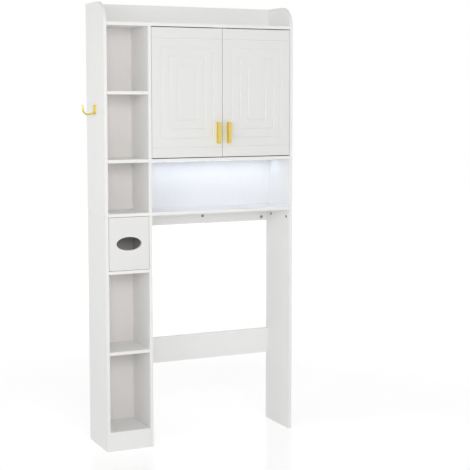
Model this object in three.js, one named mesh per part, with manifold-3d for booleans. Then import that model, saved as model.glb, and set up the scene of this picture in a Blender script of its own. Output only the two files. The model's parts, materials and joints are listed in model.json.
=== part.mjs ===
// Over-the-toilet storage rack: an open shelf tower on the left, a two-door cabinet over a lit
// cubby on the right, and an open space below the cubby for the toilet.
// Millimetres, +Z up. The rack's front faces -Y. All sizes below are in the rack's own layout:
// X from the outside of the left side, Y from the front edges to the rear, Z from the floor.
// The last group shifts that layout so that the origin is the bottom centre of the whole object.
import * as THREE from "three";
import { mergeVertices } from "three/addons/utils/BufferGeometryUtils.js";
import Module from "manifold-3d";

const wasm = await Module();
wasm.setup();

// Driving dimensions
const WIDTH = 765;
const DEPTH = 200;
const HEIGHT = 1650;
const BOARD = 12;
const TOWER_CLEAR = 158;
const SPLIT_HEIGHT = 870; // the uprights' lower and upper boards meet here
const CUBBY_CLEAR = 185;
const GALLERY_HEIGHT = 75;
const CORNER_RADIUS = 80;
const KICK_HEIGHT = 60;
const SHELF_PITCH = 300;
const BACK_THICKNESS = 3;
const BACK_INSET = 21; // from the rear edges to the rear of the thin back panels
const GROOVE_DEPTH = 3.5;
const GROOVE_PLAY = 0.25;
const DOOR_GAP = { side: 1.5, end: 3, middle: 1.5 };
const RAIL_HEIGHT = 58;
const CROSSBAR_HEIGHT = 100;
const CROSSBAR_TOP = 373;

// Levels (tops of the horizontal boards) and the uprights' places
const LEFT = [0, BOARD];
const DIVIDER = [BOARD + TOWER_CLEAR, 2 * BOARD + TOWER_CLEAR];
const RIGHT = [WIDTH - BOARD, WIDTH];
const TOWER = [LEFT[1], DIVIDER[0]];
const CABINET = [DIVIDER[1], RIGHT[0]];
const REAR_BOARD = [DEPTH - BOARD, DEPTH];
const BACK = [DEPTH - BACK_INSET - BACK_THICKNESS, DEPTH - BACK_INSET];
const BASE_TOP = KICK_HEIGHT + BOARD;
const LOW_SHELF_TOP = BASE_TOP + SHELF_PITCH;
const TISSUE_FLOOR_TOP = LOW_SHELF_TOP + SHELF_PITCH;
const JUNCTION_TOP = SPLIT_HEIGHT + BOARD;
const CABINET_FLOOR_TOP = JUNCTION_TOP + CUBBY_CLEAR + BOARD;
const TOP_TOP = HEIGHT - GALLERY_HEIGHT;
const TOP_UNDER = TOP_TOP - BOARD;
const HIGH_SHELF_TOP = (CABINET_FLOOR_TOP + TOP_UNDER + BOARD) / 2;
const MIDDLE = (CABINET[0] + CABINET[1]) / 2;

// Doors and their furniture
const GROOVE_INSET = 38.5;
const GROOVE_PITCH = 33.3;
const GROOVE_WIDTH = 5.5; // at the surface
const GROOVE_CUT = 2.25; // its depth
const OVAL = [98, 50];
const HANDLE = {
  length: 78,
  width: 10,
  reach: 24,
  grip: 10,
  web: 7,
  round: 3,
  offset: 21,
  centre: 1173,
};
const HINGE_CUP = { radius: 13, depth: 8, edge: 4, play: 0.3 };
const HINGE_FLANGE = { width: 29, height: 42, thickness: 1.2 };
const HINGE_ARM = { height: 13, plate: 2, plateHeight: 30, plateSpan: [40, 66] };
// The arm's outline from above: distance from the upright's face, and depth behind the front.
const HINGE_ARM_OUTLINE = [
  [HINGE_ARM.plate, 78],
  [9, 78],
  [11, 44],
  [25, 29],
  [25, 15],
  [14, 15],
  [14, 22],
  [HINGE_ARM.plate, 30],
];
const HINGE_END_DISTANCE = 70;
const TISSUE_HINGE_END_DISTANCE = 40;
const CATCH = { depth: 18, height: 13, clear: 1.5 };
const DOUBLE_CATCH_LENGTH = 46;
const SINGLE_CATCH_LENGTH = 34;

// Hook, lamp, shelf pins, cams and brackets
const HOOK = { reach: 52, rod: 3.5, plate: [5, 22, 34, 7], z: 1260 };
const HOOK_SCREW = {
  spacing: 16,
  rise: 4,
  radius: 3,
  length: 2.6,
  proud: 0.4,
  hole: { radius: 3.4, depth: 2.5 },
};
const LAMP = { height: 7, depth: 17, wall: 1.5, end: 10, behind: 45, bulge: 1, play: 0.25 };
const SHELF_HOLE_PITCH = 32;
const SHELF_HOLE_RADIUS = 2.75;
const SHELF_HOLE_DEPTH = 8;
const PIN = { radius: 2.5, tab: [8, 10, 3] };
const ADJUSTABLE = { top: HIGH_SHELF_TOP - 6, front: 42, play: 1 };
const CAM = { radius: 6, thickness: 9, fromEdge: 29, play: 0.25, slot: [1.6, 7, 1.2] };
const SIDE_CAM_DEPTHS = [28, 158];
const SHELF_CAM_DEPTHS = [35, 150];
const CAM_FROM_END = 28;
const PIN_FROM_SHELF_EDGE = 24;
const BRACKET = { width: 30, leg: 20, thickness: 2, fromSide: 110 };

const ROUND = 32;
const CAM_ROUND = 24;

const material = (color, roughness, metalness = 0) =>
  new THREE.MeshStandardMaterial({ color, roughness, metalness });
const WHITE = material(0xeeedea, 0.45);
const BACK_WHITE = material(0xe2dedc, 0.6);
const GOLD = material(0xd6ac3c, 0.3, 1);
const STEEL = material(0xb9bbbd, 0.35, 1);
const PLASTIC = material(0xf4f4f2, 0.4);
const DIFFUSER = material(0xf2f8ff, 0.3);
const LED_BOARD = material(0xfafafa, 0.5);

const rack = new THREE.Group();

// A geometry as a manifold-3d solid, for cutting and joining.
function solid(geometry) {
  const bare = geometry.index ? geometry.toNonIndexed() : geometry.clone();
  bare.deleteAttribute("normal");
  bare.deleteAttribute("uv");
  const merged = mergeVertices(bare, 1e-4);
  const mesh = new wasm.Mesh({
    numProp: 3,
    vertProperties: merged.attributes.position.array,
    triVerts: new Uint32Array(merged.index.array),
  });
  return new wasm.Manifold(mesh);
}

function geometryOf(made) {
  const mesh = made.getMesh();
  const geometry = new THREE.BufferGeometry();
  geometry.setAttribute("position", new THREE.BufferAttribute(mesh.vertProperties, 3));
  geometry.setIndex(new THREE.BufferAttribute(mesh.triVerts, 1));
  geometry.computeVertexNormals();
  return geometry;
}

// A block that spans x, y and z, each given as [low, high].
function block(x, y, z) {
  const box = new THREE.BoxGeometry(x[1] - x[0], y[1] - y[0], z[1] - z[0]);
  return box.translate((x[0] + x[1]) / 2, (y[0] + y[1]) / 2, (z[0] + z[1]) / 2);
}

// A round bar from one point along "x", "y" or "z"; a negative length runs the other way.
function bar(start, axis, length, radius, segments = ROUND) {
  const cylinder = new THREE.CylinderGeometry(radius, radius, Math.abs(length), segments);
  if (axis === "x") cylinder.rotateZ(Math.PI / 2);
  if (axis === "z") cylinder.rotateX(Math.PI / 2);
  const centre = new THREE.Vector3(...start);
  centre[axis] += length / 2;
  return cylinder.translate(centre.x, centre.y, centre.z);
}

const cut = (geometry, ...tools) =>
  geometryOf(tools.reduce((made, tool) => made.subtract(solid(tool)), solid(geometry)));
const join = (geometry, ...others) =>
  geometryOf(others.reduce((made, other) => made.add(solid(other)), solid(geometry)));

// Adds a named piece. Its geometry is moved to the middle of its own box, to the nearest quarter
// millimetre so that faces that meet stay exact, and its position puts it back.
function add(name, geometry, look) {
  geometry.computeBoundingBox();
  const centre = geometry.boundingBox.getCenter(new THREE.Vector3());
  centre.multiplyScalar(4).round().divideScalar(4);
  geometry.translate(-centre.x, -centre.y, -centre.z);
  const mesh = new THREE.Mesh(geometry, look);
  mesh.name = name;
  mesh.position.copy(centre);
  rack.add(mesh);
}

// A shape drawn in the (y, z) plane and extruded along +x from x.
function extrudeAlongX(shape, x, length, options = {}) {
  const made = new THREE.ExtrudeGeometry(shape, { depth: length, bevelEnabled: false, ...options });
  // The shape's own x and y become y and z, and its depth becomes x.
  made.applyMatrix4(new THREE.Matrix4().set(0, 0, 1, x, 1, 0, 0, 0, 0, 1, 0, 0, 0, 0, 0, 1));
  return made;
}

// The outline of an upper side board: its top front corner is a large round.
function upperSideOutline() {
  const outline = new THREE.Shape();
  outline.moveTo(0, SPLIT_HEIGHT);
  outline.lineTo(DEPTH, SPLIT_HEIGHT);
  outline.lineTo(DEPTH, HEIGHT);
  outline.lineTo(CORNER_RADIUS, HEIGHT);
  const [y, z] = [CORNER_RADIUS, HEIGHT - CORNER_RADIUS];
  outline.absarc(y, z, CORNER_RADIUS, Math.PI / 2, Math.PI, false);
  outline.closePath();
  return outline;
}

// The slot that a back panel slides into, cut into the upright's face at x.
function backSlot(x, direction, z) {
  const reach = [x, x + direction * GROOVE_DEPTH].sort((a, b) => a - b);
  if (direction > 0) reach[0] -= 1;
  else reach[1] += 1;
  return block(reach, [BACK[0], BACK[1] + GROOVE_PLAY], z);
}

// Where the cams sit that join an upright's lower and upper boards: depth and height.
const sideCamPlaces = SIDE_CAM_DEPTHS.map((y) => [y, SPLIT_HEIGHT - CAM.fromEdge]);

// A bore for a cam, into the face at start; direction is 1 or -1 along the axis.
function camBore(start, axis, direction = 1) {
  const mouth = [...start];
  mouth["xyz".indexOf(axis)] -= direction;
  const length = CAM.thickness + 1 + CAM.play;
  return bar(mouth, axis, direction * length, CAM.radius + CAM.play, CAM_ROUND);
}

const camBores = (x, direction) =>
  sideCamPlaces.map(([y, z]) => camBore([x, y, z], "x", direction));

const pinHoles = (x, direction) =>
  shelfHolePlaces().map(([y, z]) =>
    bar([x - direction, y, z], "x", direction * (SHELF_HOLE_DEPTH + 1), SHELF_HOLE_RADIUS, 16),
  );

function addUprights() {
  const lower = [0, SPLIT_HEIGHT];
  const upper = [SPLIT_HEIGHT, TOP_UNDER];
  const tall = [SPLIT_HEIGHT - 1, TOP_UNDER];
  const low = [KICK_HEIGHT, SPLIT_HEIGHT + 1];
  const depth = [0, DEPTH];
  add(
    "left_side_lower",
    cut(block(LEFT, depth, lower), backSlot(TOWER[0], -1, low), ...camBores(TOWER[0], -1)),
    WHITE,
  );
  add(
    "divider_lower",
    cut(block(DIVIDER, depth, lower), backSlot(TOWER[1], 1, low), ...camBores(TOWER[1], 1)),
    WHITE,
  );
  add("right_side_lower", cut(block(RIGHT, depth, lower), ...camBores(RIGHT[0], 1)), WHITE);

  const side = (x) => extrudeAlongX(upperSideOutline(), x, BOARD, { curveSegments: 24 });
  add("left_side_upper", cut(side(LEFT[0]), backSlot(TOWER[0], -1, tall)), WHITE);
  add(
    "divider_upper",
    cut(
      block(DIVIDER, depth, upper),
      backSlot(TOWER[1], 1, tall),
      backSlot(CABINET[0], -1, tall),
      ...pinHoles(CABINET[0], -1),
    ),
    WHITE,
  );
  add(
    "right_side_upper",
    cut(side(RIGHT[0]), backSlot(CABINET[1], 1, tall), ...pinHoles(CABINET[1], 1)),
    WHITE,
  );
}

// Horizontal boards. Those in front of a back panel stop at it; the others are full depth. Each
// has bores for four cams in its underside.
function addBoards() {
  const board = (name, x, y, top) => {
    const bores = [x[0] + CAM_FROM_END, x[1] - CAM_FROM_END].flatMap((centre) =>
      SHELF_CAM_DEPTHS.map((depth) => camBore([centre, depth, top - BOARD], "z")),
    );
    add(name, cut(block(x, y, [top - BOARD, top]), ...bores), WHITE);
  };
  const toBack = [0, BACK[0]];
  const full = [0, DEPTH];
  board("top_panel", [LEFT[1], RIGHT[0]], full, TOP_TOP);
  board("tower_shelf_high", TOWER, toBack, HIGH_SHELF_TOP);
  board("tower_shelf_middle", TOWER, toBack, CABINET_FLOOR_TOP);
  board("tower_junction_shelf", TOWER, toBack, JUNCTION_TOP);
  board("tissue_compartment_floor", TOWER, toBack, TISSUE_FLOOR_TOP);
  board("tower_shelf_low", TOWER, toBack, LOW_SHELF_TOP);
  board("tower_base_shelf", TOWER, toBack, BASE_TOP);
  board("cabinet_floor", CABINET, toBack, CABINET_FLOOR_TOP);
  board("cubby_shelf", CABINET, full, JUNCTION_TOP);
}

// Boards that stand on edge. The rail's cams are in its front, the others' in their rear.
function addStandingBoards() {
  const board = (name, x, y, z) => {
    const middle = (z[0] + z[1]) / 2;
    const bores = [x[0] + CAM_FROM_END, x[1] - CAM_FROM_END].map((centre) =>
      camBore([centre, y[1], middle], "y", -1),
    );
    add(name, cut(block(x, y, z), ...bores), WHITE);
  };
  board("kick_board", TOWER, [0, BOARD], [0, KICK_HEIGHT]);
  board("gallery_board", [LEFT[1], RIGHT[0]], REAR_BOARD, [TOP_TOP, HEIGHT]);
  board("lower_crossbar", CABINET, REAR_BOARD, [CROSSBAR_TOP - CROSSBAR_HEIGHT, CROSSBAR_TOP]);
  const rail = block(CABINET, REAR_BOARD, [SPLIT_HEIGHT - RAIL_HEIGHT, SPLIT_HEIGHT]);
  const bores = railCamPlaces().map(([x, z]) => camBore([x, REAR_BOARD[0], z], "y"));
  add("cubby_rear_rail", cut(rail, ...bores), WHITE);
}

// Thin back panels, held in the uprights' slots.
function addBacks() {
  const into = GROOVE_DEPTH - GROOVE_PLAY;
  const spread = ([low, high]) => [low - into, high + into];
  add("tower_back_lower", block(spread(TOWER), BACK, [KICK_HEIGHT, SPLIT_HEIGHT]), BACK_WHITE);
  add("tower_back_upper", block(spread(TOWER), BACK, [SPLIT_HEIGHT, TOP_UNDER]), BACK_WHITE);
  add("cabinet_back", block(spread(CABINET), BACK, [JUNCTION_TOP, TOP_UNDER]), BACK_WHITE);
}

// A closed ring of V section, for cutting a rectangular groove into a door's front at y = 0.
function grooveRing(x, z) {
  const corners = (grow) => [
    [x[0] - grow, z[0] - grow],
    [x[1] + grow, z[0] - grow],
    [x[1] + grow, z[1] + grow],
    [x[0] - grow, z[1] + grow],
  ];
  // The V's two sides run on above the surface at the same slope.
  const rings = [
    corners(GROOVE_WIDTH).map(([a, b]) => [a, -GROOVE_CUT, b]),
    corners(-GROOVE_WIDTH).map(([a, b]) => [a, -GROOVE_CUT, b]),
    corners(0).map(([a, b]) => [a, GROOVE_CUT, b]),
  ];
  const points = rings.flat().flat();
  const index = [];
  for (let ring = 0; ring < 3; ring++) {
    for (let i = 0; i < 4; i++) {
      const [a, b] = [4 * ring + i, 4 * ring + ((i + 1) % 4)];
      const [c, d] = [4 * ((ring + 1) % 3) + i, 4 * ((ring + 1) % 3) + ((i + 1) % 4)];
      index.push(a, b, d, a, d, c);
    }
  }
  const ringGeometry = new THREE.BufferGeometry();
  ringGeometry.setAttribute("position", new THREE.Float32BufferAttribute(points, 3));
  ringGeometry.setIndex(index);
  return ringGeometry;
}

// A straight V groove right across a door at height z.
function grooveLine(x, z) {
  const section = new THREE.Shape();
  section.moveTo(-GROOVE_CUT, z - GROOVE_WIDTH);
  section.lineTo(GROOVE_CUT, z);
  section.lineTo(-GROOVE_CUT, z + GROOVE_WIDTH);
  section.closePath();
  return extrudeAlongX(section, x[0] - 1, x[1] - x[0] + 2);
}

function grooves(x, z) {
  const lines = [z[0] + GROOVE_INSET, z[1] - GROOVE_INSET].map((level) => grooveLine(x, level));
  const rings = [0, 1, 2].map((i) => {
    const acrossIn = GROOVE_INSET + i * GROOVE_PITCH;
    const upIn = acrossIn + GROOVE_PITCH;
    return grooveRing([x[0] + acrossIn, x[1] - acrossIn], [z[0] + upIn, z[1] - upIn]);
  });
  return [...lines, ...rings];
}

// A door: its span, the side its hinges are on (-1 left, 1 right) and its hinges' heights.
function doorOf(x, z, side, hingeEnd) {
  return { x, z, side, hingeHeights: [z[0] + hingeEnd, z[1] - hingeEnd] };
}

const cabinetDoorHeight = [CABINET_FLOOR_TOP + DOOR_GAP.end, TOP_UNDER - DOOR_GAP.end];
const DOORS = {
  left_door: doorOf(
    [CABINET[0] + DOOR_GAP.side, MIDDLE - DOOR_GAP.middle / 2],
    cabinetDoorHeight,
    -1,
    HINGE_END_DISTANCE,
  ),
  right_door: doorOf(
    [MIDDLE + DOOR_GAP.middle / 2, CABINET[1] - DOOR_GAP.side],
    cabinetDoorHeight,
    1,
    HINGE_END_DISTANCE,
  ),
  tissue_door: doorOf(
    [TOWER[0] + DOOR_GAP.side, TOWER[1] - DOOR_GAP.side],
    [TISSUE_FLOOR_TOP + DOOR_GAP.middle, SPLIT_HEIGHT - DOOR_GAP.middle],
    -1,
    TISSUE_HINGE_END_DISTANCE,
  ),
};

const hingeEdge = (door) => (door.side < 0 ? door.x[0] : door.x[1]);
const cupCentre = (door) => hingeEdge(door) - door.side * (HINGE_CUP.edge + HINGE_CUP.radius);

function addDoors() {
  for (const [name, door] of Object.entries(DOORS)) {
    const bores = door.hingeHeights.map((z) =>
      bar(
        [cupCentre(door), BOARD + 1, z],
        "y",
        -(HINGE_CUP.depth + HINGE_CUP.play + 1),
        HINGE_CUP.radius + HINGE_CUP.play,
      ),
    );
    const front = name === "tissue_door" ? [ovalHole(door)] : grooves(door.x, door.z);
    add(name, cut(block(door.x, [0, BOARD], door.z), ...bores, ...front), WHITE);
  }
}

function ovalHole(door) {
  const hole = new THREE.CylinderGeometry(OVAL[0] / 2, OVAL[0] / 2, 2 * BOARD, 48);
  hole.scale(1, 1, OVAL[1] / OVAL[0]);
  return hole.translate((door.x[0] + door.x[1]) / 2, BOARD / 2, (door.z[0] + door.z[1]) / 2);
}

// A hinge cup: a steel pot sunk in the door's rear, open to the rear, with a flange on the surface.
function hingeCup(door, z) {
  const x = cupCentre(door);
  const pot = bar([x, BOARD, z], "y", -HINGE_CUP.depth, HINGE_CUP.radius);
  const flangeX = [x - HINGE_FLANGE.width / 2, x + HINGE_FLANGE.width / 2];
  const flangeZ = [z - HINGE_FLANGE.height / 2, z + HINGE_FLANGE.height / 2];
  const rear = BOARD + HINGE_FLANGE.thickness;
  const flange = block(flangeX, [BOARD, rear], flangeZ);
  const hollow = bar([x, rear + 1, z], "y", -(HINGE_CUP.depth + 1), HINGE_CUP.radius - 1.5);
  return cut(join(pot, flange), hollow);
}

// A hinge arm on its mounting plate, seen from above: a cranked arm that reaches the cup.
function hingeArm(door, z) {
  const face = hingeEdge(door) + door.side * DOOR_GAP.side;
  const away = (distance) => face - door.side * distance;
  const corners = HINGE_ARM_OUTLINE.map(([out, y]) => new THREE.Vector2(away(out), y));
  const arm = new THREE.ExtrudeGeometry(new THREE.Shape(corners), {
    depth: HINGE_ARM.height,
    bevelEnabled: false,
  });
  arm.translate(0, 0, z - HINGE_ARM.height / 2);
  const plateX = [away(0), away(HINGE_ARM.plate)].sort((a, b) => a - b);
  const half = HINGE_ARM.plateHeight / 2;
  return join(arm, block(plateX, HINGE_ARM.plateSpan, [z - half, z + half]));
}

function addHinges() {
  for (const [name, door] of Object.entries(DOORS)) {
    door.hingeHeights.forEach((z, i) => {
      const place = i ? "upper" : "lower";
      add(`${name}_hinge_cup_${place}`, hingeCup(door, z), STEEL);
      add(`${name}_hinge_arm_${place}`, hingeArm(door, z), STEEL);
    });
  }
}

// A pull handle: a grip with rounded ends on a narrower web that runs its whole length.
function addHandles() {
  const low = HANDLE.centre - HANDLE.length / 2;
  const high = HANDLE.centre + HANDLE.length / 2;
  const { round } = HANDLE;
  const front = -HANDLE.reach;
  const behind = front + HANDLE.grip;
  const outline = new THREE.Shape();
  outline.moveTo(behind, low);
  outline.lineTo(front + round, low);
  outline.absarc(front + round, low + round, round, -Math.PI / 2, Math.PI, true);
  outline.lineTo(front, high - round);
  outline.absarc(front + round, high - round, round, Math.PI, Math.PI / 2, true);
  outline.lineTo(behind, high);
  outline.closePath();
  for (const [name, side] of [
    ["left_handle", -1],
    ["right_handle", 1],
  ]) {
    const x = MIDDLE + side * HANDLE.offset;
    const grip = extrudeAlongX(outline, x - HANDLE.width / 2, HANDLE.width, { curveSegments: 6 });
    const web = block([x - HANDLE.web / 2, x + HANDLE.web / 2], [behind - 1, 0], [low, high]);
    add(name, join(grip, web), GOLD);
  }
}

// Catches that hold the doors shut: a double one under the top, a single one on the divider.
function addCatches() {
  const y = [BOARD + CATCH.clear, BOARD + CATCH.clear + CATCH.depth];
  const half = DOUBLE_CATCH_LENGTH / 2;
  const under = [TOP_UNDER - CATCH.height, TOP_UNDER];
  add("double_catch", block([MIDDLE - half, MIDDLE + half], y, under), PLASTIC);
  const height = (TISSUE_FLOOR_TOP + SPLIT_HEIGHT) / 2;
  const along = [height - SINGLE_CATCH_LENGTH / 2, height + SINGLE_CATCH_LENGTH / 2];
  add("tissue_catch", block([TOWER[1] - CATCH.height, TOWER[1]], y, along), PLASTIC);
}

// The hook: a plate on the left side's outer face and a round rod that curves out and up.
function addHook() {
  const y = DEPTH / 2;
  const [thick, wide, tall, corner] = HOOK.plate;
  const plateShape = new THREE.Shape();
  for (const [side, end, quarter] of [
    [1, -1, -Math.PI / 2],
    [1, 1, 0],
    [-1, 1, Math.PI / 2],
    [-1, -1, Math.PI],
  ]) {
    const centreY = y + side * (wide / 2 - corner);
    const centreZ = HOOK.z + end * (tall / 2 - corner);
    plateShape.absarc(centreY, centreZ, corner, quarter, quarter + Math.PI / 2, false);
  }
  plateShape.closePath();
  const plate = extrudeAlongX(plateShape, -thick, thick, { curveSegments: 8 });
  const tip = -HOOK.reach + HOOK.rod;
  const tipHeight = HOOK.z + tall / 2 - HOOK.rod;
  const route = new THREE.CubicBezierCurve3(
    new THREE.Vector3(-thick / 2, y, HOOK.z - 10),
    new THREE.Vector3(-18, y, HOOK.z - 18),
    new THREE.Vector3(tip, y, HOOK.z - 30),
    new THREE.Vector3(tip, y, tipHeight),
  );
  const section = new THREE.Shape().absarc(0, 0, HOOK.rod, 0, 2 * Math.PI, false);
  const rod = new THREE.ExtrudeGeometry(section, {
    extrudePath: route,
    steps: 20,
    curveSegments: 5,
    bevelEnabled: false,
  });
  const ball = new THREE.SphereGeometry(HOOK.rod, 12, 8).translate(tip, y, tipHeight);
  const screwMiddle = HOOK.z + HOOK_SCREW.rise;
  const screwPlaces = [-1, 1].map((side) => screwMiddle + (side * HOOK_SCREW.spacing) / 2);
  const { hole } = HOOK_SCREW;
  const holes = screwPlaces.map((z) =>
    bar([-thick - 1, y, z], "x", hole.depth + 1, hole.radius, 20),
  );
  add("coat_hook", cut(join(plate, rod, ball), ...holes), GOLD);
  screwPlaces.forEach((z, i) => {
    const face = -thick - HOOK_SCREW.proud;
    const head = bar([face, y, z], "x", HOOK_SCREW.length, HOOK_SCREW.radius, 20);
    const drive = [
      block([-thick - 1, -thick + 0.6], [y - 0.5, y + 0.5], [z - 2, z + 2]),
      block([-thick - 1, -thick + 0.6], [y - 2, y + 2], [z - 0.5, z + 0.5]),
    ];
    add(`hook_screw_${i ? "upper" : "lower"}`, cut(head, ...drive), GOLD);
  });
}

// The lamp under the cabinet's floor: an open channel, the LED board in it and its diffuser.
function addLamp() {
  const x = [CABINET[0] + LAMP.end, CABINET[1] - LAMP.end];
  const rear = BACK[0] - LAMP.behind;
  const y = [rear - LAMP.depth, rear];
  const top = CABINET_FLOOR_TOP - BOARD;
  const bottom = top - LAMP.height;
  const inside = [y[0] + LAMP.wall, y[1] - LAMP.wall];
  const hollow = block([x[0] - 1, x[1] + 1], inside, [bottom - 1, top - LAMP.wall]);
  add("lamp_channel", cut(block(x, y, [bottom, top]), hollow), PLASTIC);
  const boardTop = top - LAMP.wall;
  const boardY = [inside[0] + 1, inside[1] - 1];
  const board = block([x[0] + 2, x[1] - 2], boardY, [boardTop - 1.5, boardTop]);
  add("lamp_led_board", board, LED_BOARD);
  const lens = new THREE.Shape();
  const [front, back] = [inside[0] + LAMP.play, inside[1] - LAMP.play];
  lens.moveTo(front, bottom + 2);
  lens.lineTo(front, bottom);
  lens.quadraticCurveTo((y[0] + y[1]) / 2, bottom - LAMP.bulge, back, bottom);
  lens.lineTo(back, bottom + 2);
  lens.closePath();
  const length = x[1] - x[0];
  add("lamp_diffuser", extrudeAlongX(lens, x[0], length, { curveSegments: 10 }), DIFFUSER);
}

function shelfHolePlaces() {
  const bottom = ADJUSTABLE.top - BOARD;
  const rows = [-1, 0, 1].map((i) => bottom - PIN.radius + i * SHELF_HOLE_PITCH);
  return rows.flatMap((z) => pinDepths().map((y) => [y, z]));
}

const pinDepths = () => [ADJUSTABLE.front + PIN_FROM_SHELF_EDGE, BACK[0] - PIN_FROM_SHELF_EDGE];

// The adjustable shelf and the four pins that carry it.
function addAdjustableShelf() {
  const x = [CABINET[0] + ADJUSTABLE.play, CABINET[1] - ADJUSTABLE.play];
  const z = [ADJUSTABLE.top - BOARD, ADJUSTABLE.top];
  add("adjustable_shelf", block(x, [ADJUSTABLE.front, BACK[0] - ADJUSTABLE.play], z), WHITE);
  const [tabLength, tabWidth, tabThick] = PIN.tab;
  for (const [sideName, face, inward] of [
    ["left", CABINET[0], 1],
    ["right", CABINET[1], -1],
  ]) {
    pinDepths().forEach((y, i) => {
      const z0 = z[0] - PIN.radius;
      const start = [face - inward * (SHELF_HOLE_DEPTH - 0.5), y, z0];
      const shank = bar(start, "x", inward * (SHELF_HOLE_DEPTH + 4), PIN.radius, 16);
      const tabX = [face, face + inward * tabLength].sort((a, b) => a - b);
      const tab = block(tabX, [y - tabWidth / 2, y + tabWidth / 2], [z[0] - tabThick, z[0]]);
      add(`shelf_pin_${sideName}_${i ? "rear" : "front"}`, join(tab, shank), STEEL);
    });
  }
}

function railCamPlaces() {
  const low = SPLIT_HEIGHT - RAIL_HEIGHT + RAIL_HEIGHT / 4;
  return [
    [CABINET[0] + CAM_FROM_END, low],
    [MIDDLE, SPLIT_HEIGHT - CAM.fromEdge],
    [CABINET[1] - CAM_FROM_END, low],
  ];
}

// A cam: a disc with a cross slot in the face that shows. It is made at the origin, facing -Y.
function camDisc() {
  const [slotWidth, slotLength, slotDepth] = CAM.slot;
  const across = [-slotLength / 2, slotLength / 2];
  const narrow = [-slotWidth / 2, slotWidth / 2];
  const depth = [-1, slotDepth];
  const disc = bar([0, 0, 0], "y", CAM.thickness, CAM.radius);
  return cut(disc, block(across, depth, narrow), block(narrow, depth, across));
}

function addCams() {
  const names = ["left", "middle", "right"];
  railCamPlaces().forEach(([x, z], i) => {
    add(`rail_cam_${names[i]}`, camDisc().translate(x, REAR_BOARD[0], z), STEEL);
  });
  sideCamPlaces.forEach(([y, z], i) => {
    const disc = camDisc().rotateZ(-Math.PI / 2).translate(RIGHT[0], y, z);
    add(`side_cam_${i ? "rear" : "front"}`, disc, STEEL);
  });
}

// Wall brackets: an angle under the top at the rear, with a screw hole in the leg at the wall.
function addWallBrackets() {
  const z = [TOP_UNDER - BRACKET.leg, TOP_UNDER];
  for (const [name, centre] of [
    ["wall_bracket_left", CABINET[0] + BRACKET.fromSide],
    ["wall_bracket_right", CABINET[1] - BRACKET.fromSide],
  ]) {
    const x = [centre - BRACKET.width / 2, centre + BRACKET.width / 2];
    const wallLeg = block(x, [DEPTH - BRACKET.thickness, DEPTH], z);
    const topLeg = block(x, [BACK[1] + 1, DEPTH], [TOP_UNDER - BRACKET.thickness, TOP_UNDER]);
    const wallHole = bar([centre, DEPTH - 5, z[0] + 8], "y", 10, 2.5, 20);
    add(name, cut(join(wallLeg, topLeg), wallHole), STEEL);
  }
}

addUprights();
addBoards();
addStandingBoards();
addBacks();
addDoors();
addHinges();
addHandles();
addCatches();
addHook();
addLamp();
addAdjustableShelf();
addCams();
addWallBrackets();

// The hook and the handles stand proud of the boards, and the origin is the centre of it all.
rack.position.set(-(WIDTH - HOOK.reach) / 2, -(DEPTH - HANDLE.reach) / 2, 0);
const part = new THREE.Group();
part.add(rack);

export default part;
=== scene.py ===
"""Over-the-toilet storage rack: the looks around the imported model.

Materials, small fittings, studio light and the camera.

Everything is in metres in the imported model's frame: +X to the right as the doors are seen, +Y from
the doors towards the wall, +Z up from the floor. Places come from the boxes of the CAD nodes.
"""

import json
import math

import bmesh
import bpy
from mathutils import Matrix, Vector


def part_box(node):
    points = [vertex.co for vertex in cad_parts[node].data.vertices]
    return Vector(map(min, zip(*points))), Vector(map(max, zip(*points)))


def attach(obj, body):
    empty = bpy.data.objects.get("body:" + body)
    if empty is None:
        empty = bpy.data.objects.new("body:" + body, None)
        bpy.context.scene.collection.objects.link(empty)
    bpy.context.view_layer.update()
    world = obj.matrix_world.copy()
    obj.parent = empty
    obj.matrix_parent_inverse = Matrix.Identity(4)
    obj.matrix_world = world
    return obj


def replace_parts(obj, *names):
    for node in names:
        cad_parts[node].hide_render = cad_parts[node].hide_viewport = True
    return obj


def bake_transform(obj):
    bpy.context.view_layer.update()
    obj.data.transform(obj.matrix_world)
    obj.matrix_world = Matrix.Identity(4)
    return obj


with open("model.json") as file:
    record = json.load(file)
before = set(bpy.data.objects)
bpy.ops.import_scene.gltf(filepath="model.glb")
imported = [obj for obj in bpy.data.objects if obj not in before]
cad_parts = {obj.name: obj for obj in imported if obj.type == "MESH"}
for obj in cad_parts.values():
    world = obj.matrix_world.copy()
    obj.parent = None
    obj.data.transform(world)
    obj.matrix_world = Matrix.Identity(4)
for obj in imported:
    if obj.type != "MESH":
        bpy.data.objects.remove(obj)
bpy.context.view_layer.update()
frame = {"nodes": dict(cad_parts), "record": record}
MM = 0.001
X_AXIS, Y_AXIS, Z_AXIS = Vector((1, 0, 0)), Vector((0, 1, 0)), Vector((0, 0, 1))

DOORS = ("left_door", "right_door", "tissue_door")
HINGE_PLACES = ("lower", "upper")
SHARP_ANGLE = 32  # degrees: an edge that turns more than this stays sharp, or gets rounded
WELD_DISTANCE = 0.01 * MM
FLAT_ANGLE = 0.5  # degrees: faces that turn less than this are one face
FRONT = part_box("left_side_lower")[0].y  # the plane of the boards' and doors' front faces
BOARD_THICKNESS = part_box("left_side_lower")[1].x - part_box("left_side_lower")[0].x
DOOR_REAR = FRONT + BOARD_THICKNESS

CAMERA_PLACE = (-1.7854, -4.2216, 1.3100)
CAMERA_DOWN = 5.473  # degrees below the horizontal
CAMERA_TURN = 25.234  # degrees to the right of straight ahead
CAMERA_LENS = 92.45  # millimetres
CAMERA_SENSOR = 36  # millimetres wide
CAMERA_SHIFT = -0.05

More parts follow.
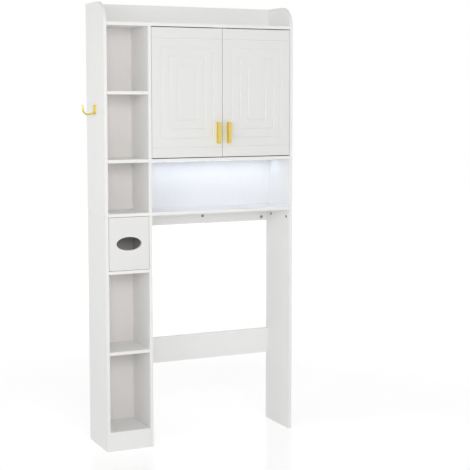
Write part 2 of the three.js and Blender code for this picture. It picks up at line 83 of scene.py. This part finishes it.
ROOM_LIGHT = 0.57  # radiance of the white studio where it lights the object
ROOM_SEEN = 1.0  # and where it is seen behind it
FLOOR_HALF_SIZE = 9.0  # metres
FLOOR_DROP = 0.2 * MM  # below the uprights' feet
FLOOR_GLOW = (0.266, 0.366)  # under the object, and away from it
FLOOR_GLOW_REACH = (1.2, 3.5)  # metres
FLOOR_GLOW_CAST = 0.55  # the share of that glow that lights the object
LAMP_STRENGTH = 6.3

# Soft lights: name, place, the point each is aimed at, size, watts and spread in degrees.
FRONT_PLACE = (-1.0, -3.6, 1.8)
FRONT_TARGET = (0.05, 0, 1.3)
FRONT_SIZE = (2.0, 1.2)
SIDE_SIZE = (1.6, 1.2)
LIGHTS = (
    ("front", FRONT_PLACE, FRONT_TARGET, FRONT_SIZE, 33, 180),
    ("front_upper", FRONT_PLACE, FRONT_TARGET, FRONT_SIZE, 1.8, 60),
    ("front_left", (-2.9, -2.4, 1.5), (0, 0, 1.0), SIDE_SIZE, 1.9, 60),
    ("left", (-3.8, -0.2, 1.6), (-0.35, 0, 0.9), SIDE_SIZE, 1.9, 60),
)


# ---------------------------------------------------------------- camera, light and floor


def make_camera():
    data = bpy.data.cameras.new("camera")
    data.sensor_width = CAMERA_SENSOR
    data.lens = CAMERA_LENS
    data.shift_y = CAMERA_SHIFT
    camera = bpy.data.objects.new("camera", data)
    camera.location = CAMERA_PLACE
    camera.rotation_euler = (math.radians(90 - CAMERA_DOWN), 0, math.radians(-CAMERA_TURN))
    bpy.context.scene.collection.objects.link(camera)
    bpy.context.scene.camera = camera


def make_world():
    """An even white studio, dimmer as a light than it is seen, directly or in a reflection."""
    world = bpy.data.worlds.new("studio")
    world.use_nodes = True
    nodes, links = world.node_tree.nodes, world.node_tree.links
    background = nodes["Background"]
    background.inputs["Color"].default_value = (1, 1, 1, 1)
    rays = nodes.new("ShaderNodeLightPath")
    seen = nodes.new("ShaderNodeMath")
    seen.operation = "MAXIMUM"
    links.new(rays.outputs["Is Camera Ray"], seen.inputs[0])
    links.new(rays.outputs["Is Glossy Ray"], seen.inputs[1])
    strength = nodes.new("ShaderNodeMix")
    strength.name = "strength"
    strength.inputs["A"].default_value = ROOM_LIGHT
    strength.inputs["B"].default_value = ROOM_SEEN
    links.new(seen.outputs["Value"], strength.inputs["Factor"])
    links.new(strength.outputs["Result"], background.inputs["Strength"])
    bpy.context.scene.world = world


def soft_light(name, place, target, size, watts, spread):
    data = bpy.data.lights.new(name, "AREA")
    data.shape = "RECTANGLE"
    data.size, data.size_y = size
    data.energy = watts
    data.spread = math.radians(spread)
    light = bpy.data.objects.new(name, data)
    light.location = place
    aim = Vector(target) - Vector(place)
    light.rotation_euler = aim.to_track_quat("-Z", "Y").to_euler()
    bpy.context.scene.collection.objects.link(light)


def make_floor():
    """A plain floor for the picture only, just under the uprights' feet."""
    bm = bmesh.new()
    bmesh.ops.create_grid(bm, x_segments=1, y_segments=1, size=FLOOR_HALF_SIZE)
    bmesh.ops.translate(bm, verts=bm.verts, vec=(0, 0, -FLOOR_DROP))
    floor = new_object("floor", bm)
    floor.data.materials.append(pale_floor())


# ---------------------------------------------------------------- materials


class Look:
    """A material on one Principled shader, with helpers for its noise textures."""

    def __init__(self, name, **sockets):
        self.material = bpy.data.materials.new(name)
        self.material.use_nodes = True
        tree = self.material.node_tree
        self.nodes, self.links = tree.nodes, tree.links
        self.shader = self.nodes["Principled BSDF"]
        self.coordinates = self.nodes.new("ShaderNodeTexCoord").outputs["Object"]
        self.normal = None
        for socket, value in sockets.items():
            self.shader.inputs[socket.replace("_", " ")].default_value = value

    def noise(self, scale, stretch=(1, 1, 1), detail=2.0, distortion=0.0):
        """A noise value of about 0 to 1, with features 1/scale metres across."""
        mapping = self.nodes.new("ShaderNodeMapping")
        mapping.inputs["Scale"].default_value = stretch
        self.links.new(self.coordinates, mapping.inputs["Vector"])
        texture = self.nodes.new("ShaderNodeTexNoise")
        texture.inputs["Scale"].default_value = scale
        texture.inputs["Detail"].default_value = detail
        texture.inputs["Distortion"].default_value = distortion
        self.links.new(mapping.outputs["Vector"], texture.inputs["Vector"])
        return texture.outputs["Fac"]

    def ranged(self, value, low, high, source=(0.3, 0.7)):
        """The value brought from the source range to low..high."""
        node = self.nodes.new("ShaderNodeMapRange")
        node.inputs["From Min"].default_value, node.inputs["From Max"].default_value = source
        node.inputs["To Min"].default_value = low
        node.inputs["To Max"].default_value = high
        self.links.new(value, node.inputs["Value"])
        return node.outputs["Result"]

    def colour(self, factor, first, second, socket="Base Color"):
        node = self.nodes.new("ShaderNodeMix")
        node.data_type = "RGBA"
        node.inputs["A"].default_value = (*first, 1)
        node.inputs["B"].default_value = (*second, 1)
        self.links.new(factor, node.inputs["Factor"])
        self.links.new(node.outputs["Result"], self.shader.inputs[socket])

    def roughness(self, value, low, high):
        self.links.new(self.ranged(value, low, high), self.shader.inputs["Roughness"])

    def bump(self, value, depth):
        """Adds relief of that depth in metres, on top of any relief there already is."""
        node = self.nodes.new("ShaderNodeBump")
        node.inputs["Distance"].default_value = depth
        self.links.new(value, node.inputs["Height"])
        if self.normal:
            self.links.new(self.normal, node.inputs["Normal"])
        self.normal = node.outputs["Normal"]
        self.links.new(self.normal, self.shader.inputs["Normal"])


def white_board(name, light, shade, roughness, grain):
    """White-faced board: a fine pearled surface, a faint mottle and uneven sheen."""
    look = Look(name, Specular_IOR_Level=0.4)
    look.colour(look.ranged(look.noise(7, detail=3), 0, 1), shade, light)
    look.roughness(look.noise(45, detail=3), *roughness)
    look.bump(look.noise(1500, detail=1), grain)
    look.bump(look.noise(260, detail=2), 1.5 * grain)
    return look.material


def back_fibreboard(name, light, shade):
    """The back panels' printed paper face: matt, with faint upright fibres."""
    look = Look(name, Specular_IOR_Level=0.3)
    fibres = look.noise(320, stretch=(1, 1, 0.06), detail=4)
    look.colour(look.ranged(fibres, 0, 1), shade, light)
    look.roughness(look.noise(60, detail=2), 0.55, 0.68)
    look.bump(fibres, 0.02 * MM)
    return look.material


def plated(name, light, shade, roughness, brush, grain=0.006 * MM):
    """Plated metal: drawn lines along brush's long axis, and a slight change of tone."""
    look = Look(name, Metallic=1.0)
    lines = look.noise(900, stretch=brush, detail=3)
    look.colour(look.ranged(look.noise(35, detail=2), 0, 1), shade, light)
    look.roughness(lines, *roughness)
    look.bump(lines, grain)
    return look.material


def cast_zinc():
    look = Look("cast_zinc", Metallic=0.85)
    grain = look.noise(700, detail=4)
    look.colour(look.ranged(grain, 0, 1), (0.30, 0.30, 0.29), (0.38, 0.38, 0.37))
    look.roughness(look.noise(300), 0.42, 0.6)
    look.bump(grain, 0.03 * MM)
    return look.material


def moulded(name, light, shade, roughness, **sockets):
    """Moulded plastic: spark-eroded texture and a slight flow mottle."""
    look = Look(name, **sockets)
    look.colour(look.ranged(look.noise(60, detail=3), 0, 1), shade, light)
    look.roughness(look.noise(180), *roughness)
    look.bump(look.noise(2200, detail=2), 0.015 * MM)
    return look.material


def lit_diffuser():
    """The opal strip of the lamp: cool white, a little brighter over each light source."""
    look = Look("opal_diffuser", Roughness=0.35, Emission_Strength=LAMP_STRENGTH)
    look.colour(look.ranged(look.noise(110), 0, 1), (0.86, 0.90, 0.96), (0.90, 0.94, 1.0))
    glow = look.noise(62, stretch=(1, 0.05, 0.05), detail=0)
    look.colour(look.ranged(glow, 0, 1), (0.63, 0.76, 1.0), (0.70, 0.81, 1.0), "Emission Color")
    look.bump(look.noise(1400), 0.02 * MM)
    return look.material


def pale_floor():
    """A white floor that glows a little, more so away from the object, to meet the white studio."""
    look = Look("pale_floor", Specular_IOR_Level=0.5)
    look.shader.inputs["Emission Color"].default_value = (1, 1, 1, 1)
    distance = look.nodes.new("ShaderNodeVectorMath")
    distance.operation = "LENGTH"
    look.links.new(look.coordinates, distance.inputs[0])
    glow = look.ranged(distance.outputs["Value"], *FLOOR_GLOW, source=FLOOR_GLOW_REACH)
    rays = look.nodes.new("ShaderNodeLightPath")
    share = look.ranged(rays.outputs["Is Camera Ray"], FLOOR_GLOW_CAST, 1, source=(0, 1))
    strength = look.nodes.new("ShaderNodeMath")
    strength.operation = "MULTIPLY"
    look.links.new(glow, strength.inputs[0])
    look.links.new(share, strength.inputs[1])
    look.links.new(strength.outputs["Value"], look.shader.inputs["Emission Strength"])
    look.colour(look.ranged(look.noise(1.5), 0, 1), (0.945, 0.945, 0.945), (0.955, 0.955, 0.955))
    look.roughness(look.noise(4), 0.15, 0.18)
    return look.material


# ---------------------------------------------------------------- meshes


def new_object(name, bm, smooth_angle=None):
    mesh = bpy.data.meshes.new(name)
    bmesh.ops.recalc_face_normals(bm, faces=bm.faces)
    if smooth_angle is not None:
        for face in bm.faces:
            face.smooth = True
        for edge in bm.edges:
            edge.smooth = edge.calc_face_angle(math.pi) < math.radians(smooth_angle)
    bm.to_mesh(mesh)
    bm.free()
    obj = bpy.data.objects.new(name, mesh)
    bpy.context.scene.collection.objects.link(obj)
    return obj


def piece(name, bm, look, body):
    """A finished piece that rides on one body."""
    obj = new_object(name, bm, smooth_angle=SHARP_ANGLE)
    obj.data.materials.append(look)
    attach(obj, body)
    return obj


def block(low, high, rounding=0.0, segments=2):
    bm = bmesh.new()
    bmesh.ops.create_cube(bm, size=1)
    low, high = Vector(low), Vector(high)
    bmesh.ops.scale(bm, verts=bm.verts, vec=high - low)
    bmesh.ops.translate(bm, verts=bm.verts, vec=(low + high) / 2)
    if rounding:
        bmesh.ops.bevel(
            bm, geom=bm.edges[:], offset=rounding, segments=segments, profile=0.5, affect="EDGES"
        )
    return bm


def turned(profile, steps=28):
    """A closed solid turned about z from (radius, height) points that start and end on the axis."""
    bm = bmesh.new()
    rings = []
    for radius, height in profile:
        if radius == 0:
            rings.append([bm.verts.new((0, 0, height))] * steps)
            continue
        angles = (2 * math.pi * i / steps for i in range(steps))
        rings.append(
            [bm.verts.new((radius * math.cos(a), radius * math.sin(a), height)) for a in angles]
        )
    for lower, upper in zip(rings, rings[1:]):
        for i in range(steps):
            j = (i + 1) % steps
            corners = dict.fromkeys((lower[i], lower[j], upper[j], upper[i]))
            bm.faces.new(corners)
    return bm


def carved(body, tools):
    """The body with the tools cut away."""
    target = new_object("carving", body)
    cutters = [new_object("cutter", tool) for tool in tools]
    for cutter in cutters:
        modifier = target.modifiers.new("cut", "BOOLEAN")
        modifier.operation = "DIFFERENCE"
        modifier.solver = "EXACT"
        modifier.object = cutter
    evaluated = target.evaluated_get(bpy.context.evaluated_depsgraph_get())
    bm = bmesh.new()
    bm.from_mesh(evaluated.to_mesh())
    for obj in (target, *cutters):
        bpy.data.objects.remove(obj)
    return bm


def stamped(parts):
    """One mesh of several (mesh, matrix) pairs. The meshes can be used again."""
    whole = bmesh.new()
    scratch = bpy.data.meshes.new("scratch")
    for part, matrix in parts:
        part.to_mesh(scratch)
        scratch.transform(matrix)
        whole.from_mesh(scratch)
    bpy.data.meshes.remove(scratch)
    return whole


def facing(point, direction):
    """Puts a part made along +z at point, with its +z along direction."""
    return Matrix.Translation(point) @ direction.to_track_quat("Z", "Y").to_matrix().to_4x4()


def cross_recess(length, width, floor, top):
    half, narrow = length / 2, width / 2
    return [
        block((-half, -narrow, floor), (half, narrow, top)),
        block((-narrow, -half, floor), (narrow, half, top)),
    ]


# A pan head's outline, from its seat to its crown, in parts of its radius and its height.
PAN_HEAD = (
    (0, -0.3),
    (0.96, -0.3),
    (1, 0.15),
    (0.97, 0.45),
    (0.85, 0.75),
    (0.62, 0.94),
    (0.3, 1),
    (0, 1),
)


def pan_screw(radius, height):
    """A pan-head screw's head, sunk a little into what it holds."""
    head = turned([(across * radius, up * height) for across, up in PAN_HEAD])
    return carved(head, cross_recess(1.1 * radius, 0.24 * radius, 0.35 * height, 2 * height))


def cam_disc(radius, thickness):
    """A cam fastener's disc, its face at z = 0 and its body below it."""
    disc = turned(
        [
            (0, -thickness),
            (radius, -thickness),
            (radius, -0.05 * radius),
            (0.95 * radius, 0),
            (0, 0),
        ]
    )
    return carved(disc, cross_recess(1.2 * radius, 0.26 * radius, -0.2 * radius, radius))


# ---------------------------------------------------------------- CAD nodes


def smooth_by_angle():
    """A geometry node group that drops imported normals and smooths all but the sharp edges."""
    group = bpy.data.node_groups.new("smooth_by_angle", "GeometryNodeTree")
    for direction in ("INPUT", "OUTPUT"):
        group.interface.new_socket("Geometry", in_out=direction, socket_type="NodeSocketGeometry")
    nodes, links = group.nodes, group.links
    angle = nodes.new("GeometryNodeInputMeshEdgeAngle")
    compare = nodes.new("FunctionNodeCompare")
    compare.operation = "LESS_THAN"
    compare.inputs["B"].default_value = math.radians(SHARP_ANGLE)
    faces = nodes.new("GeometryNodeSetShadeSmooth")
    edges = nodes.new("GeometryNodeSetShadeSmooth")
    edges.domain = "EDGE"
    strip = nodes.new("GeometryNodeRemoveAttribute")
    strip.inputs["Name"].default_value = "custom_normal"
    links.new(nodes.new("NodeGroupInput").outputs[0], strip.inputs["Geometry"])
    links.new(strip.outputs["Geometry"], faces.inputs["Geometry"])
    links.new(faces.outputs["Geometry"], edges.inputs["Geometry"])
    links.new(angle.outputs["Unsigned Angle"], compare.inputs["A"])
    links.new(compare.outputs["Result"], edges.inputs["Shade Smooth"])
    links.new(edges.outputs["Geometry"], nodes.new("NodeGroupOutput").inputs[0])
    return group


SMOOTH = smooth_by_angle()


def finish_node(name, look, edge, limit):
    """Gives a CAD node its material and small rounded edges, without touching its own mesh."""
    obj = frame["nodes"][name]
    for slot in obj.material_slots:
        slot.material = look
    weld = obj.modifiers.new("weld", "WELD")
    weld.merge_threshold = WELD_DISTANCE
    flat = obj.modifiers.new("flat", "DECIMATE")
    flat.decimate_type = "DISSOLVE"
    flat.angle_limit = math.radians(FLAT_ANGLE)
    if edge:
        bevel = obj.modifiers.new("edges", "BEVEL")
        bevel.width = edge
        bevel.segments = 2
        bevel.angle_limit = math.radians(limit)
    smooth = obj.modifiers.new("smooth", "NODES")
    smooth.node_group = SMOOTH
    weighted = obj.modifiers.new("weighted", "WEIGHTED_NORMAL")
    weighted.keep_sharp = True


BOARD = white_board(
    "melamine_white", (0.882, 0.880, 0.870), (0.866, 0.864, 0.856), (0.40, 0.50), 0.012 * MM
)
DOOR = white_board(
    "lacquer_white", (0.814, 0.811, 0.796), (0.804, 0.801, 0.788), (0.34, 0.42), 0.008 * MM
)
BACK = back_fibreboard("tower_back_paper", (0.890, 0.858, 0.838), (0.870, 0.835, 0.815))
CABINET_BACK = back_fibreboard("cabinet_back_paper", (0.872, 0.870, 0.870), (0.850, 0.848, 0.848))
GOLD = plated("gold_plate", (0.80, 0.635, 0.120), (0.76, 0.600, 0.105), (0.24, 0.34), (1, 1, 0.05))
STEEL = plated("nickel_plate", (0.66, 0.66, 0.65), (0.60, 0.60, 0.59), (0.25, 0.38), (1, 0.06, 1))
ZINC = cast_zinc()
PLASTIC = moulded("white_plastic", (0.84, 0.84, 0.83), (0.81, 0.81, 0.80), (0.42, 0.52))
DIODE = moulded("diode_gel", (0.85, 0.72, 0.28), (0.80, 0.66, 0.22), (0.25, 0.35))
MAGNET = moulded("ferrite", (0.06, 0.06, 0.065), (0.045, 0.045, 0.05), (0.5, 0.6))
LED_BOARD = moulded("solder_mask", (0.86, 0.86, 0.85), (0.82, 0.82, 0.81), (0.32, 0.42))
DIFFUSER = lit_diffuser()

FINISHES = {
    "melamine": (BOARD, 1.1 * MM),
    "melamine_doors": (DOOR, 0.9 * MM),
    "back_board": (BACK, 0.3 * MM),
    "gold": (GOLD, 1.0 * MM),
    "hinge_steel": (STEEL, 0.4 * MM),
    "cam_zinc": (ZINC, 0.3 * MM),
    "white_plastic": (PLASTIC, 0.4 * MM),
    "lamp_diffuser": (DIFFUSER, 0.0),
    "led_board": (LED_BOARD, 0.15 * MM),
}
DOOR_EDGE_LIMIT = 60  # degrees: more than the grooves' sides, so that the grooves stay crisp
HOOK_SCREW_EDGE = 0.15 * MM

CAM_RADIUS = 6 * MM
CAM_THICKNESS = 9 * MM
CAM_FROM_END = 28 * MM
SHELF_CAM_DEPTHS = (35 * MM, 150 * MM)
SIDE_CAM_DEPTHS = (28 * MM, 158 * MM)
SIDE_CAM_DROP = 29 * MM
CAMS_BELOW = (
    "top_panel",
    "cabinet_floor",
    "cubby_shelf",
    "tower_shelf_high",
    "tower_shelf_middle",
    "tower_junction_shelf",
    "tissue_compartment_floor",
    "tower_shelf_low",
    "tower_base_shelf",
)
CAMS_BEHIND = ("kick_board", "gallery_board", "lower_crossbar")


def finish_nodes():
    for subpart in frame["record"]["subparts"]:
        name, slot = subpart["node"], subpart["material_slot"]
        look, edge = FINISHES[slot]
        limit = DOOR_EDGE_LIMIT if slot == "melamine_doors" else SHARP_ANGLE
        if name == "cabinet_back":
            look = CABINET_BACK
        if name.startswith("hook_screw"):
            edge = HOOK_SCREW_EDGE
        finish_node(name, look, edge, limit)


# ---------------------------------------------------------------- hinges


# Screws are given by their head's radius and height, and depths are behind the front plane.
CUP_SCREW = (2.7 * MM, 0.9 * MM)
CUP_SCREW_OFFSET = 17 * MM  # above and below the cup's middle
CUP_PIN_RADIUS = 1.4 * MM
CUP_PIN_HALF = 8 * MM
CUP_PIN_DISTANCES = (14 * MM, 23.5 * MM)  # from the upright's face
CUP_PIN_DEPTH = 9 * MM
PLATE_THICKNESS = 2 * MM
PLATE_SCREW = (3.3 * MM, 1.5 * MM)
PLATE_SCREW_OFFSET = 10.8 * MM
PLATE_SCREW_DEPTH = 53 * MM
ARM_SCREW = (3.0 * MM, 1.3 * MM)
ARM_SCREW_PLACES = ((10.4 * MM, 53 * MM), (9.5 * MM, 69 * MM))  # distance and depth
LINKS = (("outer", 22 * MM, 4.6 * MM), ("inner", 15 * MM, 3.2 * MM))  # distance and half height
LINK_THICKNESS = 1.3 * MM
LINK_DEPTHS = (22 * MM, 8 * MM)  # from inside the arm to inside the cup
LINK_BEND_DEPTHS = (20 * MM, 9.5 * MM)
LINK_STEPS = 28
LINK_BOW = 1.2 * MM
LINK_WAIST = 0.18  # how much narrower a link is at its middle


class Hinge:
    """One cup hinge: the upright's face, which way the door reaches from it, and its height."""

    def __init__(self, door, place):
        arm_low, arm_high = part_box(f"{door}_hinge_arm_{place}")
        cup_low, cup_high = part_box(f"{door}_hinge_cup_{place}")
        self.door = door
        self.side = 1 if arm_low.x < cup_low.x else -1
        self.face = arm_low.x if self.side > 0 else arm_high.x
        self.z = (arm_low.z + arm_high.z) / 2
        self.cup_x = (cup_low.x + cup_high.x) / 2
        self.cup_rear = cup_high.y

    def at(self, away, depth, up=0.0):
        """A point that far from the upright's face, behind the front plane, and above the middle."""
        return Vector((self.face + self.side * away, FRONT + depth, self.z + up))


def link_strap(hinge, away, half_height):
    """A pressed link from inside the arm to inside the cup, in short lengths."""
    start, end = LINK_DEPTHS
    bm = bmesh.new()
    rings = []
    for i in range(LINK_STEPS + 1):
        depth = start + (end - start) * i / LINK_STEPS
        arch = math.sin(math.pi * i / LINK_STEPS)
        near, far = LINK_BOW * arch, LINK_BOW * arch + LINK_THICKNESS
        waist = half_height * (1 - LINK_WAIST * arch)
        corners = [(near, -waist), (near, waist), (far, waist), (far, -waist)]
        rings.append([bm.verts.new(hinge.at(away + a, depth, z)) for a, z in corners])
    for first, second in zip(rings, rings[1:]):
        for i in range(4):
            j = (i + 1) % 4
            bm.faces.new((first[i], first[j], second[j], second[i]))
    bm.faces.new(rings[0][::-1])
    bm.faces.new(rings[-1])
    return bm


def add_links(hinge, place):
    for name, away, half_height in LINKS:
        strap = new_object(
            f"{hinge.door}_hinge_link_{place}_{name}",
            link_strap(hinge, away, half_height),
            smooth_angle=SHARP_ANGLE,
        )
        strap.data.materials.append(STEEL)
        start, end = (hinge.at(away, depth) for depth in LINK_BEND_DEPTHS)
        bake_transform(strap)


def add_hinge_fittings():
    cup_screw, plate_screw, arm_screw = (
        pan_screw(*size) for size in (CUP_SCREW, PLATE_SCREW, ARM_SCREW)
    )
    half, radius = CUP_PIN_HALF, CUP_PIN_RADIUS
    pin = turned([(0, -half), (radius, -half), (radius, half), (0, half)], steps=20)
    for door in DOORS:
        cup_parts, arm_parts = [], []
        for place in HINGE_PLACES:
            hinge = Hinge(door, place)
            outward = X_AXIS * hinge.side
            for up in (-CUP_SCREW_OFFSET, CUP_SCREW_OFFSET):
                spot = Vector((hinge.cup_x, hinge.cup_rear, hinge.z + up))
                cup_parts.append((cup_screw, facing(spot, Y_AXIS)))
            for away in CUP_PIN_DISTANCES:
                cup_parts.append((pin, Matrix.Translation(hinge.at(away, CUP_PIN_DEPTH))))
            for up in (-PLATE_SCREW_OFFSET, PLATE_SCREW_OFFSET):
                spot = hinge.at(PLATE_THICKNESS, PLATE_SCREW_DEPTH, up)
                arm_parts.append((plate_screw, facing(spot, outward)))
            for away, depth in ARM_SCREW_PLACES:
                arm_parts.append((arm_screw, facing(hinge.at(away, depth), outward)))
            add_links(hinge, place)
        piece(f"{door}_cup_screws_and_pins", stamped(cup_parts), STEEL, door)
        piece(f"{door}_arm_screws", stamped(arm_parts), STEEL, "carcass")


# ---------------------------------------------------------------- catches and handles


# A catch's levels are measured away from the board that it's screwed to.
HOUSING_INSET = 8 * MM  # from each end of the ears
HOUSING_FRONT = 0.6 * MM
HOUSING_ROUNDING = 1.2 * MM
POCKET_HALF = 7.4 * MM
POCKET_DEPTH = 5 * MM
POCKET_LEVELS = (3.9 * MM, 11.1 * MM)
EAR_INSET = 3 * MM
EAR_THICKNESS = 3.4 * MM
EAR_ROUNDING = 1.0 * MM
EAR_SCREW = (2.9 * MM, 1.4 * MM)
EAR_SCREW_FROM_END = 4.2 * MM
MAGNET_HALF = 7 * MM
MAGNET_DEPTHS = (0.8 * MM, 4.8 * MM)
MAGNET_LEVELS = (5.7 * MM, 9.3 * MM)
MAGNET_ROUNDING = 0.3 * MM
POLE_LEVELS = (4.4 * MM, 9.4 * MM)
POLE_THICKNESS = 1.2 * MM
POLE_ROUNDING = 0.2 * MM
DOUBLE_CATCH_MAGNETS = (-9 * MM, 9 * MM)  # one for each door
TISSUE_CATCH_MAGNETS = (0,)
STRIKE_SUNK = 0.2 * MM
STRIKE_PROUD = 0.8 * MM
STRIKE_ROUNDING = 0.3 * MM
STRIKE_SCREW = (2.4 * MM, 0.45 * MM)
STRIKE_FROM_EDGE = (12 * MM, 1 * MM)
STRIKE_FROM_MIDDLE = (2 * MM, 15.5 * MM)
TISSUE_STRIKE_HALF = 7 * MM
HANDLE_SCREW = (4.2 * MM, 2.2 * MM)
HANDLE_SCREW_FROM_END = 7 * MM


def placed(parts, matrix):
    return stamped([(part, matrix) for part in parts])


def catch_frame(origin, along, away):
    """Local x runs along the catch, y from its front to its rear and z away from its board."""
    return Matrix.Translation(origin) @ Matrix((along, Y_AXIS, away)).transposed().to_4x4()


def add_catch(node, along, away, origin, magnets):
    """A moulded housing on two screwed ears, with a magnet between steel plates at its front."""
    low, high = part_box(node)
    size = high - low
    length = abs(size.dot(along))
    height, depth = abs(size.dot(away)), size.y
    half = length / 2
    matrix = catch_frame(origin, along, away)
    body_half = half - HOUSING_INSET
    housing = block(
        (-body_half, HOUSING_FRONT, 0), (body_half, depth, height), HOUSING_ROUNDING, segments=3
    )
    low, high = POCKET_LEVELS
    pockets = [
        block((u - POCKET_HALF, -MM, low), (u + POCKET_HALF, POCKET_DEPTH, high)) for u in magnets
    ]
    ears = block(
        (-half, EAR_INSET, 0), (half, depth - EAR_INSET, EAR_THICKNESS), EAR_ROUNDING, segments=3
    )
    body = placed([carved(housing, pockets), ears], matrix)
    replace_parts(piece(f"{node}_housing", body, PLASTIC, "carcass"), node)
    low, high = MAGNET_LEVELS
    front, rear = MAGNET_DEPTHS
    plates, blocks = [], []
    for u in magnets:
        left, right = u - MAGNET_HALF, u + MAGNET_HALF
        for level in POLE_LEVELS:
            top = level + POLE_THICKNESS
            plates.append(block((left, 0, level), (right, rear, top), POLE_ROUNDING))
        blocks.append(block((left, front, low), (right, rear, high), MAGNET_ROUNDING))
    piece(f"{node}_pole_plates", placed(plates, matrix), STEEL, "carcass")
    piece(f"{node}_magnets", placed(blocks, matrix), MAGNET, "carcass")
    head = pan_screw(*EAR_SCREW)
    out = half - EAR_SCREW_FROM_END
    spots = [Vector((u, depth / 2, EAR_THICKNESS)) for u in (-out, out)]
    screws = stamped([(head, matrix @ Matrix.Translation(spot)) for spot in spots])
    piece(f"{node}_screws", screws, STEEL, "carcass")


def add_strike(name, door, x, z):
    """A thin steel plate on the door's rear, where the magnet meets it."""
    sunk, proud = DOOR_REAR - STRIKE_SUNK, DOOR_REAR + STRIKE_PROUD
    plate = block((x[0], sunk, z[0]), (x[1], proud, z[1]), STRIKE_ROUNDING)
    centre = Vector(((x[0] + x[1]) / 2, proud, (z[0] + z[1]) / 2))
    screw = pan_screw(*STRIKE_SCREW)
    parts = stamped([(plate, Matrix()), (screw, facing(centre, Y_AXIS))])
    piece(name, parts, STEEL, door)


def add_catches():
    low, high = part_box("double_catch")
    middle, top = (low.x + high.x) / 2, high.z
    origin = Vector((middle, low.y, top))
    add_catch("double_catch", X_AXIS, -Z_AXIS, origin, DOUBLE_CATCH_MAGNETS)
    door_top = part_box("left_door")[1].z
    z = [door_top - d for d in STRIKE_FROM_EDGE]
    near, far = STRIKE_FROM_MIDDLE
    add_strike("left_strike_plate", "left_door", (middle - far, middle - near), z)
    add_strike("right_strike_plate", "right_door", (middle + near, middle + far), z)

    low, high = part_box("tissue_catch")
    level = (low.z + high.z) / 2
    origin = Vector((high.x, low.y, level))
    add_catch("tissue_catch", Z_AXIS, -X_AXIS, origin, TISSUE_CATCH_MAGNETS)
    door_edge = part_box("tissue_door")[1].x
    x = [door_edge - d for d in STRIKE_FROM_EDGE]
    z = (level - TISSUE_STRIKE_HALF, level + TISSUE_STRIKE_HALF)
    add_strike("tissue_strike_plate", "tissue_door", x, z)


def add_handle_screws():
    """The machine screws that hold each handle, seen on the door's rear."""
    head = pan_screw(*HANDLE_SCREW)
    for side in ("left", "right"):
        low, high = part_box(f"{side}_handle")
        x = (low.x + high.x) / 2
        ends = (low.z + HANDLE_SCREW_FROM_END, high.z - HANDLE_SCREW_FROM_END)
        spots = [Vector((x, DOOR_REAR, z)) for z in ends]
        screws = stamped([(head, facing(spot, Y_AXIS)) for spot in spots])
        piece(f"{side}_handle_screws", screws, STEEL, f"{side}_door")


def add_cams():
    """The discs in the bores of the boards' undersides, rear faces and lower uprights."""
    disc = cam_disc(CAM_RADIUS, CAM_THICKNESS)
    for node in CAMS_BELOW:
        low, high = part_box(node)
        spots = [
            Vector((x, FRONT + depth, low.z))
            for x in (low.x + CAM_FROM_END, high.x - CAM_FROM_END)
            for depth in SHELF_CAM_DEPTHS
        ]
        add_board_cams(node, disc, spots, -Z_AXIS)
    for node in CAMS_BEHIND:
        low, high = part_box(node)
        middle = (low.z + high.z) / 2
        ends = (low.x + CAM_FROM_END, high.x - CAM_FROM_END)
        spots = [Vector((x, high.y, middle)) for x in ends]
        add_board_cams(node, disc, spots, Y_AXIS)
    for node, outward in (("left_side_lower", 1), ("divider_lower", -1)):
        low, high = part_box(node)
        x = high.x if outward > 0 else low.x
        spots = [Vector((x, FRONT + depth, high.z - SIDE_CAM_DROP)) for depth in SIDE_CAM_DEPTHS]
        add_board_cams(node, disc, spots, outward * X_AXIS)


def add_board_cams(node, disc, spots, outward):
    discs = stamped([(disc, facing(spot, outward)) for spot in spots])
    piece(f"{node}_cams", discs, ZINC, "carcass")


BRACKET_SCREW = (3.8 * MM, 1.8 * MM)
BRACKET_SCREW_FROM_FRONT = 8 * MM
BRACKET_THICKNESS = 2 * MM


def add_bracket_screws():
    head = pan_screw(*BRACKET_SCREW)
    parts = []
    for side in ("left", "right"):
        low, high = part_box(f"wall_bracket_{side}")
        x, y = (low.x + high.x) / 2, low.y + BRACKET_SCREW_FROM_FRONT
        spot = Vector((x, y, high.z - BRACKET_THICKNESS))
        parts.append((head, facing(spot, -Z_AXIS)))
    piece("wall_bracket_screws", stamped(parts), STEEL, "carcass")


# ---------------------------------------------------------------- lamp


END_CAP_THICKNESS = 1.6 * MM
END_CAP_ROUNDING = 0.5 * MM
DIODES = 34
DIODE_HALF = 1.5 * MM
DIODE_HEIGHT = 0.7 * MM
DIODE_SUNK = 0.1 * MM
DIODE_ROUNDING = 0.2 * MM


def add_lamp_fittings():
    low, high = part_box("lamp_channel")
    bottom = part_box("lamp_diffuser")[0].z
    ends = {
        "left": (low.x - END_CAP_THICKNESS, low.x),
        "right": (high.x, high.x + END_CAP_THICKNESS),
    }
    for name, (left, right) in ends.items():
        cap = block((left, low.y, bottom), (right, high.y, high.z), END_CAP_ROUNDING)
        piece(f"lamp_end_cap_{name}", cap, PLASTIC, "carcass")
    board_low, board_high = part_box("lamp_led_board")
    middle = (board_low.y + board_high.y) / 2
    spacing = (board_high.x - board_low.x) / DIODES
    diode = block(
        (-DIODE_HALF, -DIODE_HALF, -DIODE_HEIGHT),
        (DIODE_HALF, DIODE_HALF, DIODE_SUNK),
        DIODE_ROUNDING,
        segments=1,
    )
    spots = [
        Vector((board_low.x + (i + 0.5) * spacing, middle, board_low.z)) for i in range(DIODES)
    ]
    diodes = stamped([(diode, Matrix.Translation(spot)) for spot in spots])
    piece("lamp_diodes", diodes, DIODE, "carcass")


# ---------------------------------------------------------------- the scene

make_camera()
make_world()
for light in LIGHTS:
    soft_light(*light)
bpy.context.scene.view_settings.view_transform = "Standard"
make_floor()

finish_nodes()
add_hinge_fittings()
add_catches()
add_handle_screws()
add_cams()
add_bracket_screws()
add_lamp_fittings()

bpy.context.view_layer.update()
